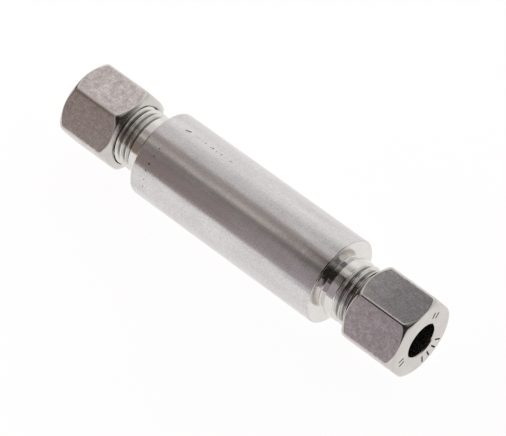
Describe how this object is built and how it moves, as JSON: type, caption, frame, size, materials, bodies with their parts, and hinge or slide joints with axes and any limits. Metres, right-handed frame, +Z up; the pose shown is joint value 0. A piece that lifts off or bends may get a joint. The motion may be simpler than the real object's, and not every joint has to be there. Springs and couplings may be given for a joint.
{
  "type": "bulkhead tube union",
  "caption": "Round turned weld-in sleeve with a threaded neck at each end, each neck carrying a hexagon union nut and a cutting ring for an 8 mm tube.",
  "frame": {"origin": "middle of the sleeve, on the bore's axis", "axes": "+X along the bore towards the right union nut, +Z up, square to the bore, with a flat of each nut facing nearly up"},
  "size_m": [0.0942, 0.02, 0.02],
  "materials": {
    "sleeve_steel": "bright fine-turned stainless steel",
    "nut_steel": "drawn hexagon stainless bar, flats satin, faces turned",
    "ring_steel": "smooth turned stainless steel"
  },
  "bodies": {
    "sleeve": {"sleeve_body": "sleeve_steel"},
    "left_ring": {"left_cutting_ring": "ring_steel"},
    "left_nut": {"left_union_nut": "nut_steel"},
    "right_ring": {"right_cutting_ring": "ring_steel"},
    "right_nut": {"right_union_nut": "nut_steel"}
  },
  "joints": [
    {"name": "left_ring_travel", "type": "slide", "parent": "sleeve", "child": "left_ring", "axis": [-1, 0, 0], "range_m": [-0.00226, 0.00151]},
    {"name": "left_nut_turn", "type": "hinge", "parent": "left_ring", "child": "left_nut", "pos_m": [-0.0399, 0, 0], "axis": [-1, 0, 0], "range_deg": [-540, 360]},
    {"name": "right_ring_travel", "type": "slide", "parent": "sleeve", "child": "right_ring", "axis": [1, 0, 0], "range_m": [-0.00226, 0.00151]},
    {"name": "right_nut_turn", "type": "hinge", "parent": "right_ring", "child": "right_nut", "pos_m": [0.0399, 0, 0], "axis": [1, 0, 0], "range_deg": [-540, 360]}
  ],
  "couplings": [
    {"joint": "left_ring_travel", "follows": "left_nut_turn", "m_per_rad": 0.00023873},
    {"joint": "right_ring_travel", "follows": "right_nut_turn", "m_per_rad": 0.00023873}
  ]
}
